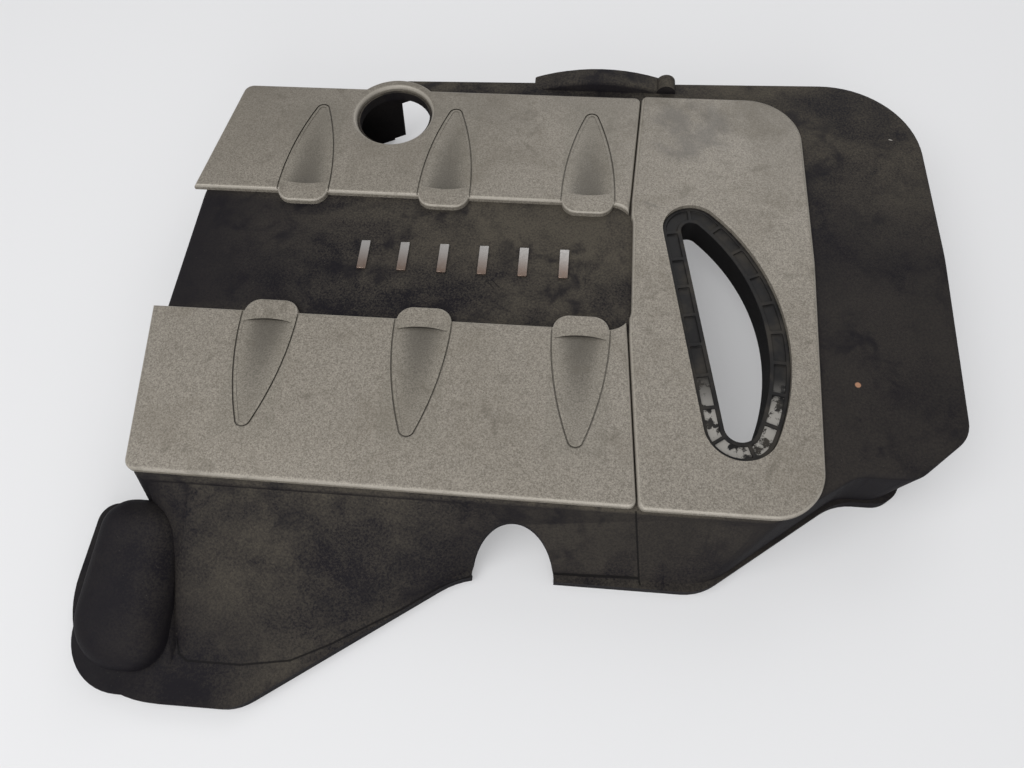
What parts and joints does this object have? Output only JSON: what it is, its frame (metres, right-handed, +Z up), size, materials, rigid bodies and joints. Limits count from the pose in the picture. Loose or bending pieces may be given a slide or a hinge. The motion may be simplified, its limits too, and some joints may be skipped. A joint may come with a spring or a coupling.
{
  "type": "engine cover",
  "caption": "Moulded plastic engine cover: black base with sloping front skirt, silver styling panels with raised fingers, oil-filler opening and a curved side vent.",
  "frame": {"origin": "under the middle of the base's outline, at the level of its lower rim", "axes": "+X to the right and +Y to the back as seen from the front skirt, +Z up"},
  "size_m": [0.6267, 0.5342, 0.079],
  "materials": {
    "black_moulding": "fine-grained, dusty matte",
    "silver_paint": "satin silver-grey paint",
    "vent_black": "matte",
    "badge_satin": "satin metallic",
    "foam": "open-cell foam",
    "clip_steel": "plain spring steel",
    "grommet_rubber": "matte"
  },
  "bodies": {
    "root": {"base_cover": "black_moulding", "rear_trim": "silver_paint", "front_trim": "silver_paint", "side_trim": "silver_paint", "vent_bezel": "vent_black", "badge_bars": "badge_satin", "acoustic_pad": "foam", "trim_clips": "clip_steel", "front_left_grommet": "grommet_rubber", "rear_left_grommet": "grommet_rubber", "front_right_grommet": "grommet_rubber", "rear_right_grommet": "grommet_rubber"}
  },
  "joints": []
}
